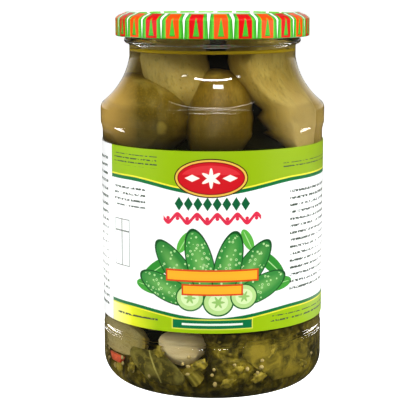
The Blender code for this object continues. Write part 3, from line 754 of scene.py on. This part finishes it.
# Herb bits: soft scraps of dill head and stem, olive and lumpy, caught against the glass.
HERB_BITS = [
    # angle from the front, height, half length, half height, turn
    (-6.5, 16.6, 3.4, 2.0, 20), (-30, 20.2, 2.6, 2.2, -30), (-63, 9.4, 2.8, 1.6, 10),
    (9, 9.0, 3.2, 1.5, 25), (14, 14.5, 2.4, 1.8, -35), (27, 10.5, 3.6, 1.6, 15),
    (34, 19.5, 3.0, 1.8, 60), (58, 12.0, 3.4, 1.8, -20), (-50, 11.5, 2.6, 1.5, 50),
    (95, 13.0, 3.4, 2.0, 20), (140, 10.5, 3.2, 1.8, -15), (-120, 14.0, 3.6, 2.0, 30),
    (-160, 11.0, 3.0, 1.8, -40), (180, 17.0, 3.2, 2.2, 10),
]
HERB_BIT_THICK = 1.1 * MM
HERB_BIT_LUMPS = 0.45
ball, ball_faces = sphere(18, 28)
bit_points, bit_faces = [], []
for number, (angle, high, long, tall, turn) in enumerate(HERB_BITS):
    around, z, twist = radians(angle), high * MM, radians(turn)
    other_lumps = Vector((number, 0, 0))
    lumps = np.array([1 + HERB_BIT_LUMPS * lumpy(Vector(point) + other_lumps, 1.6) for point in ball])
    form = ball * lumps[:, None]
    along, up = form[:, 0] * long * MM, form[:, 2] * tall * MM
    spread = along * cos(twist) - up * sin(twist)
    rise = along * sin(twist) + up * cos(twist)
    reach = float(room_at(z)) - HERB_BIT_THICK + form[:, 1] * HERB_BIT_THICK
    turned_by = around + spread / reach
    bit_points.append(np.stack([reach * np.sin(turned_by), -reach * np.cos(turned_by), z + rise], 1))
    bit_faces += [tuple(len(ball) * number + index for index in face) for face in ball_faces]
scraps, tree = new_material("olive_herb_scraps")
scrap_place = add(tree, "TexCoord").outputs["Object"]
scrap_noise = add(tree, "TexNoise", {"Vector": scrap_place, "Scale": 380.0, "Detail": 4.0})
scrap_light = add(tree, "MapRange", {0: scrap_noise, 1: 0.38, 2: 0.62, 3: 0.0, 4: 1.0})
scrap_colour = add(tree, "MixRGB", {0: scrap_light, 1: to_linear("5c5210"), 2: to_linear("b09c34")})
scrap_shell = add(tree, "BsdfPrincipled", {"Base Color": scrap_colour, "Roughness": 0.45})
add(tree, "OutputMaterial", {"Surface": scrap_shell})
bits_mesh = solid_mesh("herb_bits", press(np.concatenate(bit_points)), bit_faces)
herb_bits = put("herb_bits", bits_mesh, scraps)

# Seeds: dill and mustard seeds, pale and round, caught between the herbs and the glass.
SEEDS = 46
SEED_RADIUS = 0.75 * MM
SEEDS_THAT_SHOW = [
    # angle from the front, height
    (-49, 9.5), (-58, 11.0), (1.5, 7.6), (-37, 9.0), (12, 16.0),
]
ball, ball_faces = sphere(8, 12)
seed_points, seed_faces = [], []
for number in range(SEEDS):
    around = chance.uniform(0, 2 * pi)
    z = chance.uniform(8.5, 20.0) * MM
    if number < len(SEEDS_THAT_SHOW):
        around = radians(SEEDS_THAT_SHOW[number][0])
        z = SEEDS_THAT_SHOW[number][1] * MM
    reach = float(room_at(z)) - SEED_RADIUS
    stretch = np.array((1.0, 1.0, 1.0)) + chance.uniform(-0.2, 0.35, 3)
    centre = np.array((reach * sin(around), -reach * cos(around), z + 0.6 * MM))
    seed_faces += [tuple(len(ball) * number + index for index in face) for face in ball_faces]
    seed_points.append(ball * stretch * SEED_RADIUS + centre)
seed_skin, tree = new_material("spice_seed")
seed_place = add(tree, "TexCoord").outputs["Object"]
seed_noise = add(tree, "TexNoise", {"Vector": seed_place, "Scale": 120.0, "Detail": 1.0})
seed_colour = add(tree, "MixRGB", {0: seed_noise, 1: to_linear("8c7430"), 2: to_linear("d8c486")})
seed_shell = add(tree, "BsdfPrincipled", {"Base Color": seed_colour, "Roughness": 0.45})
add(tree, "OutputMaterial", {"Surface": seed_shell})
seeds_mesh = solid_mesh("spice_seeds", press(np.concatenate(seed_points)), seed_faces)
seeds = put("spice_seeds", seeds_mesh, seed_skin)

# Lid: a pressed twist-off cap with a raised outer ring over the glass rim, a sunk middle and a
# safety button. A common border of red and orange blocks with green teeth runs round its side.
LID = {
    "radius": 42.6 * MM, "bottom": 153.65 * MM, "skirt_top": 161.4 * MM, "thick": 0.45 * MM,
    "curl": 1.25 * MM, "bevel_radius": 39.8 * MM, "bevel_high": 163.2 * MM,
    "ring_outer": 38.2 * MM, "ring_inner": 36.8 * MM, "ring_high": 163.9 * MM,
    "panel_radius": 36.2 * MM, "panel_high": 162.6 * MM,
    "button_outer": 15.0 * MM, "button_inner": 13.0 * MM, "button_high": 162.1 * MM,
}
LUGS = 6
LUG_SHIFT = 0.2
LUG_HALF = 0.11
LUG_DEEP = 1.0 * MM


def lid_outline():
    """Outer side of the lid from its middle out and down, round the curl, and back inside it."""
    lid = LID
    line = [(0.0, lid["button_high"]), (lid["button_inner"], lid["button_high"])]
    line.append((lid["button_outer"], lid["panel_high"]))
    line.append((lid["panel_radius"], lid["panel_high"]))
    line.append((lid["ring_inner"], lid["ring_high"]))
    line += bend(line[-1], (lid["ring_outer"], lid["ring_high"]), radians(-60), 6)
    line.append((lid["bevel_radius"], lid["bevel_high"]))
    line += bend(line[-1], (lid["radius"], lid["skirt_top"]), radians(-40), 8)
    line.append((lid["radius"], lid["bottom"] + lid["curl"] / 2))
    line += bend(line[-1], (lid["radius"] - lid["curl"], line[-1][1]), -pi, 10)
    line.append((lid["radius"] - lid["curl"], lid["bottom"] + lid["curl"]))
    bore, below = lid["radius"] - lid["thick"], lid["thick"] + 0.15 * MM
    line.append((bore, lid["bottom"] + lid["curl"] + 0.5 * MM))
    line.append((bore, lid["skirt_top"] - below))
    line.append((lid["bevel_radius"], lid["bevel_high"] - below))
    line.append((lid["ring_outer"] - 0.2 * MM, lid["ring_high"] - lid["thick"]))
    line.append((lid["ring_inner"] + 0.4 * MM, lid["ring_high"] - lid["thick"]))
    line.append((lid["panel_radius"] + 0.4 * MM, lid["panel_high"] - lid["thick"]))
    line.append((lid["button_outer"] + 0.2 * MM, lid["panel_high"] - lid["thick"]))
    line.append((lid["button_inner"], lid["button_high"] - lid["thick"]))
    line.append((0.0, lid["button_high"] - lid["thick"]))
    return line


def maths(tree, operation, first, second=0.0):
    """Result of one operation on two values."""
    return add(tree, "Math", {0: first, 1: second}, operation=operation).outputs[0]


def both(tree, *masks):
    """Product of masks."""
    found = masks[0]
    for mask in masks[1:]:
        found = maths(tree, "MULTIPLY", found, mask)
    return found


def within(tree, value, low, high):
    """1 where a value lies between two bounds."""
    return both(tree, maths(tree, "GREATER_THAN", value, low), maths(tree, "LESS_THAN", value, high))


def ramp(tree, value, start, end, low, high):
    """A value's linear change from low to high between start and end."""
    return add(tree, "MapRange", {0: value, 1: start, 2: end, 3: low, 4: high}).outputs[0]


def paint(tree, mask, under, over):
    """Colour over put on colour under where the mask is 1; each is a hex value or a socket."""
    links = {0: mask, 1: under, 2: over}
    links.update({at: to_linear(c) for at, c in links.items() if isinstance(c, str)})
    return add(tree, "MixRGB", links).outputs[0]


def round_jar(tree):
    """Angle from the front, radius in mm and height in mm of a point on the jar."""
    at = add(tree, "SeparateXYZ", {0: add(tree, "TexCoord").outputs["Object"]})
    x, y, z = (at.outputs[axis] for axis in "XYZ")
    angle = maths(tree, "ARCTAN2", x, maths(tree, "MULTIPLY", y, -1.0))
    square = maths(tree, "ADD", maths(tree, "POWER", x, 2.0), maths(tree, "POWER", y, 2.0))
    radius = maths(tree, "MULTIPLY", maths(tree, "SQRT", square), 1000.0)
    return angle, radius, maths(tree, "MULTIPLY", z, 1000.0)


# Lacquered tinplate, printed: one block in each of 26 sectors, red and orange in turn, a white
# wedge between them that widens up the bevel, and dark and light green lines beside the wedge.
SECTORS = 26
FIRST_BLOCK = radians(4.75)
tinplate, tree = new_material("lacquered_tinplate_print")
angle, radius, high = round_jar(tree)
sector = maths(tree, "DIVIDE", maths(tree, "SUBTRACT", angle, FIRST_BLOCK), 2 * pi / SECTORS)
from_block = maths(tree, "PINGPONG", sector, 0.5)
from_gap = maths(tree, "SUBTRACT", 0.5, from_block)
is_red = maths(tree, "GREATER_THAN", maths(tree, "PINGPONG", sector, 1.0), 0.5)
slope = maths(tree, "MULTIPLY", maths(tree, "SUBTRACT", 42.6, radius), 0.6)
climb = maths(tree, "ADD", high, slope)
wedge = maths(tree, "ADD", ramp(tree, climb, 154.3, 161.4, 0.008, 0.046),
              ramp(tree, climb, 161.4, 166.5, 0.0, 0.045))
beside = maths(tree, "SUBTRACT", from_gap, wedge)
colour = paint(tree, within(tree, beside, 0.072, 0.105), "5ac834", "2ca01e")
colour = paint(tree, within(tree, beside, 0.012, 0.048), colour, "0c820e")
colour = paint(tree, maths(tree, "LESS_THAN", beside, 0.0), colour, "fbfdf8")
block = paint(tree, is_red, "f45006", "d80c10")
in_block = maths(tree, "LESS_THAN", from_block, 0.285)
block_here = both(tree, in_block, maths(tree, "LESS_THAN", climb, 166.5))
colour = paint(tree, block_here, colour, block)
under_tooth = both(tree, maths(tree, "LESS_THAN", from_block, 0.13), within(tree, high, 154.85, 155.15))
colour = paint(tree, under_tooth, colour, "2a8a1c")
tooth_edge = ramp(tree, climb, 155.1, 163.0, 0.122, 0.008)
tooth = both(tree, maths(tree, "LESS_THAN", from_block, tooth_edge), within(tree, climb, 155.15, 163.0))
colour = paint(tree, tooth, colour, "44b82e")
colour = paint(tree, maths(tree, "LESS_THAN", high, 154.0), colour, "42b42a")
colour = paint(tree, maths(tree, "LESS_THAN", high, 153.8), colour, "128a18")
on_top = maths(tree, "LESS_THAN", radius, 37.6)
colour = paint(tree, on_top, colour, "f6f8f2")
arc = both(tree, within(tree, radius, 36.0, 37.2), maths(tree, "LESS_THAN", high, 163.3),
           maths(tree, "GREATER_THAN", from_gap, 0.10))
colour = paint(tree, arc, colour, "6cc034")
tin_shell = add(tree, "BsdfPrincipled", {
    "Base Color": colour, "Roughness": 0.28, "Coat Weight": 0.15, "Coat Roughness": 0.12,
})
add(tree, "OutputMaterial", {"Surface": tin_shell})

lid_mesh = turned("lid_cap", lid_outline(), sides=312, sharp=35.0)
for vert in lid_mesh.vertices:
    reach = hypot(vert.co.x, vert.co.y)
    on_curl = LID["bottom"] + 0.5 * MM < vert.co.z < LID["bottom"] + LID["curl"] + 0.1 * MM
    if on_curl and reach < LID["radius"] - 0.9 * MM:
        turn = (atan2(vert.co.y, vert.co.x) * LUGS / (2 * pi) - LUG_SHIFT) % 1.0
        if abs(turn - 0.5) < LUG_HALF:
            vert.co.x *= 1 - LUG_DEEP / reach
            vert.co.y *= 1 - LUG_DEEP / reach
lid = put("lid_cap", lid_mesh, tinplate)
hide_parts("lid")

# Label: one coated paper wrap, with a line of painted shade at its lap on the left. Its print is a plain
# design in the photo's colours and scale: lime bands, a red oval, lozenges, gherkins and rules.
LABEL_RADIUS = 49.0 * MM
LABEL_THICK = 0.25 * MM
LABEL_LOW, LABEL_HIGH = 31.4 * MM, 108.4 * MM
label_outline = [
    (LABEL_RADIUS + LABEL_THICK, LABEL_HIGH), (LABEL_RADIUS + LABEL_THICK, LABEL_LOW),
    (LABEL_RADIUS, LABEL_LOW), (LABEL_RADIUS, LABEL_HIGH),
    (LABEL_RADIUS + LABEL_THICK, LABEL_HIGH),
]
paper, tree = new_material("printed_coated_paper")
angle, radius, high = round_jar(tree)
across = maths(tree, "MULTIPLY", angle, 49.25)
object_place = tree.nodes["Texture Coordinate"].outputs["Object"]


def times_plus(first, second, third):
    """First times second, plus third."""
    return add(tree, "Math", {0: first, 1: second, 2: third}, operation="MULTIPLY_ADD").outputs[0]


def local(place, size, turn=0.0):
    """Two page coordinates about a motif's middle, turned, each 1 at its half size."""
    found = []
    for way, half in zip(((cos(radians(turn)), sin(radians(turn))),
                          (-sin(radians(turn)), cos(radians(turn)))), size):
        shift = -(place[0] * way[0] + place[1] * way[1]) / half
        found.append(times_plus(across, way[0] / half, times_plus(high, way[1] / half, shift)))
    return found


def oval(place, size, turn=0.0):
    """Distance from an oval's middle, 1 on its edge."""
    first, second = local(place, size, turn)
    return maths(tree, "SQRT", times_plus(first, first, maths(tree, "MULTIPLY", second, second)))


def lozenge(place, size, turn=0.0):
    """Distance from a lozenge's middle, 1 on its edge."""
    first, second = (maths(tree, "ABSOLUTE", part) for part in local(place, size, turn))
    return maths(tree, "ADD", first, second)


def box(place, size, turn=0.0):
    """Distance from a rectangle's middle, 1 on its edge."""
    first, second = (maths(tree, "ABSOLUTE", part) for part in local(place, size, turn))
    return maths(tree, "MAXIMUM", first, second)


def inside(distance, edge=1.0):
    """1 within a motif's edge."""
    return maths(tree, "LESS_THAN", distance, edge)


# Lime bands with a green and yellow edge: the upper one dips in the middle, the lower one rises
swag = maths(tree, "POWER", maths(tree, "MAXIMUM", maths(tree, "COSINE", maths(
    tree, "MULTIPLY", maths(tree, "MINIMUM", maths(tree, "ABSOLUTE", across), 40.0), pi / 80)), 0.0), 2.0)
upper_edge = maths(tree, "SUBTRACT", 94.5, maths(tree, "MULTIPLY", swag, 4.5))
lower_edge = maths(tree, "SUBTRACT", 41.5, maths(tree, "MULTIPLY", swag, 3.5))
above = maths(tree, "SUBTRACT", high, upper_edge)
beneath = maths(tree, "SUBTRACT", lower_edge, high)
lime = paint(tree, ramp(tree, across, -40.0, 60.0, 0.0, 1.0), "90b606", "90ae12")
dawn = paint(tree, ramp(tree, across, -52.0, -38.0, 0.0, 1.0), "fbf8a0", "e8ea28")
low_lime = paint(tree, ramp(tree, across, -40.0, -24.0, 0.0, 1.0), dawn, "98bc0c")
beyond_lap = maths(tree, "LESS_THAN", across, -52.6)
lime = paint(tree, beyond_lap, lime, "90ae12")
low_lime = paint(tree, beyond_lap, low_lime, "98bc0c")
colour = paint(tree, maths(tree, "GREATER_THAN", above, 0.0), "fafcfb", "0a6e38")
colour = paint(tree, maths(tree, "GREATER_THAN", above, 1.5), colour, "e6e23a")
colour = paint(tree, maths(tree, "GREATER_THAN", above, 2.2), colour, lime)
colour = paint(tree, maths(tree, "GREATER_THAN", beneath, 0.0), colour, "0a6e38")
colour = paint(tree, maths(tree, "GREATER_THAN", beneath, 1.4), colour, "e6e23a")
colour = paint(tree, maths(tree, "GREATER_THAN", beneath, 2.0), colour, low_lime)

# Red oval with a gilt rim on the upper band, and a plain green bar on the lower one
for size, tone in (((15.6, 8.2), "3c0a10"), ((15.1, 7.7), "e3b84a"), ((14.2, 6.9), "8c0c18"),
                   ((13.7, 6.4), "c8141e")):
    colour = paint(tree, inside(oval((-0.5, 97.2), size)), colour, tone)
shine = both(tree, inside(oval((-0.5, 97.2), (12.6, 5.4))), maths(tree, "GREATER_THAN", high, 98.6))
colour = paint(tree, shine, colour, "d83038")
for turn in (0, 60, 120):
    colour = paint(tree, inside(oval((-0.5, 97.2), (0.9, 4.3), turn)), colour, "fbf3e6")
for place in ((-8.4, 97.2), (7.4, 97.2)):
    colour = paint(tree, inside(lozenge(place, (3.2, 1.5))), colour, "fbf3e6")
for size, tone in (((17.5, 2.3), "d8dc50"), ((17.0, 1.8), "0a7040"), ((13.0, 0.45), "e9f4e4")):
    colour = paint(tree, inside(box((0.0, 35.2), size)), colour, tone)

# A row of green lozenges and a red scroll where the titles stand in the photo
for step in range(8):
    colour = paint(tree, inside(lozenge((-14.0 + 4.0 * step, 86.4), (1.9, 2.9))), colour, "0c5c34")
wave = maths(tree, "MULTIPLY", maths(tree, "SINE", maths(tree, "MULTIPLY", across, 2 * pi / 8.4)), 1.7)
from_wave = maths(tree, "ABSOLUTE", maths(tree, "SUBTRACT", maths(tree, "SUBTRACT", high, 80.2), wave))
scroll = both(tree, maths(tree, "LESS_THAN", from_wave, 0.95), within(tree, across, -21.0, 21.0))
colour = paint(tree, scroll, colour, "dc2848")
for step in range(10):
    dot = oval((-18.9 + 4.2 * step, 80.2), (0.8, 0.8))
    colour = paint(tree, inside(dot), colour, "dc2848")

# Gherkins fanned out of a bed of leaves, with slices in front
grain = add(tree, "TexVoronoi", {
    "Vector": object_place, "Scale": 550.0, "Randomness": 0.9}).outputs["Distance"]
for place, size, turn, tone in (
    ((-24.0, 58.0), (9.0, 3.2), 35, "2c8a2c"), ((-27.0, 50.0), (8.0, 3.0), -8, "3f9c34"),
    ((26.0, 60.0), (9.0, 3.0), -42, "2c8a2c"), ((29.0, 51.0), (8.0, 3.0), 6, "3f9c34"),
    ((-12.0, 70.0), (5.0, 2.2), 60, "57b040"), ((15.0, 71.0), (5.0, 2.2), -64, "57b040"),
):
    colour = paint(tree, inside(oval(place, size, turn)), colour, tone)
    colour = paint(tree, inside(oval(place, (size[0] * 0.85, 0.22), turn)), colour, "a8d890")
for place, size, turn, tone in (
    ((-15.0, 58.5), (15.0, 5.6), 128, "2f8036"), ((16.0, 58.5), (15.0, 5.6), 52, "2f8036"),
    ((-5.0, 61.0), (15.5, 5.8), 104, "38903c"), ((6.5, 60.0), (15.5, 5.8), 76, "338a3a"),
    ((-20.0, 50.0), (14.0, 5.4), 158, "35883a"), ((20.5, 50.0), (14.0, 5.4), 22, "35883a"),
):
    whole = oval(place, size, turn)
    colour = paint(tree, inside(whole), colour, "0f4a1e")
    colour = paint(tree, inside(whole, 0.92), colour, tone)
    glow = ramp(tree, oval(place, (size[0] * 0.9, size[1] * 0.62), turn), 0.1, 1.0, 0.75, 0.0)
    colour = paint(tree, both(tree, inside(whole, 0.92), glow), colour, "7cbc60")
    wart = both(tree, inside(whole, 0.88), inside(grain, 0.30))
    colour = paint(tree, wart, colour, "b6dc9a")
    colour = paint(tree, both(tree, inside(whole, 0.88), inside(grain, 0.13)), colour, "1c5a26")
for place, size in (((-9.5, 46.5), 6.2), ((2.5, 44.8), 6.6), ((13.5, 47.0), 6.0)):
    colour = paint(tree, inside(oval(place, (size, size * 0.92))), colour, "1c6828")
    colour = paint(tree, inside(oval(place, (size * 0.9, size * 0.82))), colour, "b8dc8c")
    colour = paint(tree, inside(oval(place, (size * 0.62, size * 0.55))), colour, "d8eeb4")
    for turn in (0, 60, 120):
        seed = oval(place, (size * 0.42, size * 0.09), turn)
        colour = paint(tree, inside(seed), colour, "94c468")
for place, size in (((0.0, 56.0), (20.0, 2.6)), ((0.0, 50.0), (13.0, 2.4))):
    bar = box(place, size)
    colour = paint(tree, inside(bar), colour, "d8401c")
    colour = paint(tree, inside(box(place, (size[0] - 0.7, size[1] - 0.7))), colour, "fbb02c")

# Side panels of plain grey rules and small boxes, and painted shade along the lap of the paper's edge
words = add(tree, "TexNoise", {"Vector": object_place, "Scale": 900.0, "Detail": 1.0}).outputs[0]
inked = maths(tree, "GREATER_THAN", words, 0.44)
side_panel = within(tree, across, -106.0, -52.6)
colour = paint(tree, side_panel, colour, "f9fafa")
for low, top, start, end, gap in (
    (83.0, 92.0, -50.0, -30.0, 2.6), (46.0, 90.5, 36.0, 98.0, 3.0), (100.5, 105.5, -50.0, -24.0, 1.7),
    (99.5, 102.5, 32.0, 96.0, 1.6), (36.5, 103.0, -102.0, -57.0, 3.4), (34.0, 37.5, 26.0, 90.0, 2.2),
    (34.0, 37.5, -48.0, -24.0, 2.4), (46.0, 104.0, 108.0, 146.0, 2.8), (46.0, 104.0, -146.0, -110.0, 2.8),
):
    row = maths(tree, "LESS_THAN", maths(tree, "PINGPONG", high, gap / 2), gap * 0.16)
    rules = both(tree, row, within(tree, high, low, top), within(tree, across, start, end), inked)
    colour = paint(tree, rules, colour, "3c4a3c")
for place, size in (((-44.5, 67.0), (5.0, 10.0)), ((-44.5, 67.0), (0.12, 10.0)),
                    ((-44.5, 72.0), (5.0, 0.12))):
    frame_line = both(tree, inside(box(place, (size[0] + 0.2, size[1] + 0.2))),
                      maths(tree, "SUBTRACT", 1.0, inside(box(place, (size[0] - 0.15, size[1] - 0.15)))))
    colour = paint(tree, frame_line, colour, "3c4a3c")
# Painted shade: a thin grey line where the lapped edge of the paper steps over the wrap.
colour = paint(tree, within(tree, across, -52.75, -52.45), colour, "b9bfae")
paper_shell = add(tree, "BsdfPrincipled", {
    "Base Color": colour, "Roughness": 0.38, "Specular IOR Level": 0.35,
})
add(tree, "OutputMaterial", {"Surface": paper_shell})
label = put("label_wrap", turned("label_wrap", label_outline, sharp=30.0), paper)
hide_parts("label")
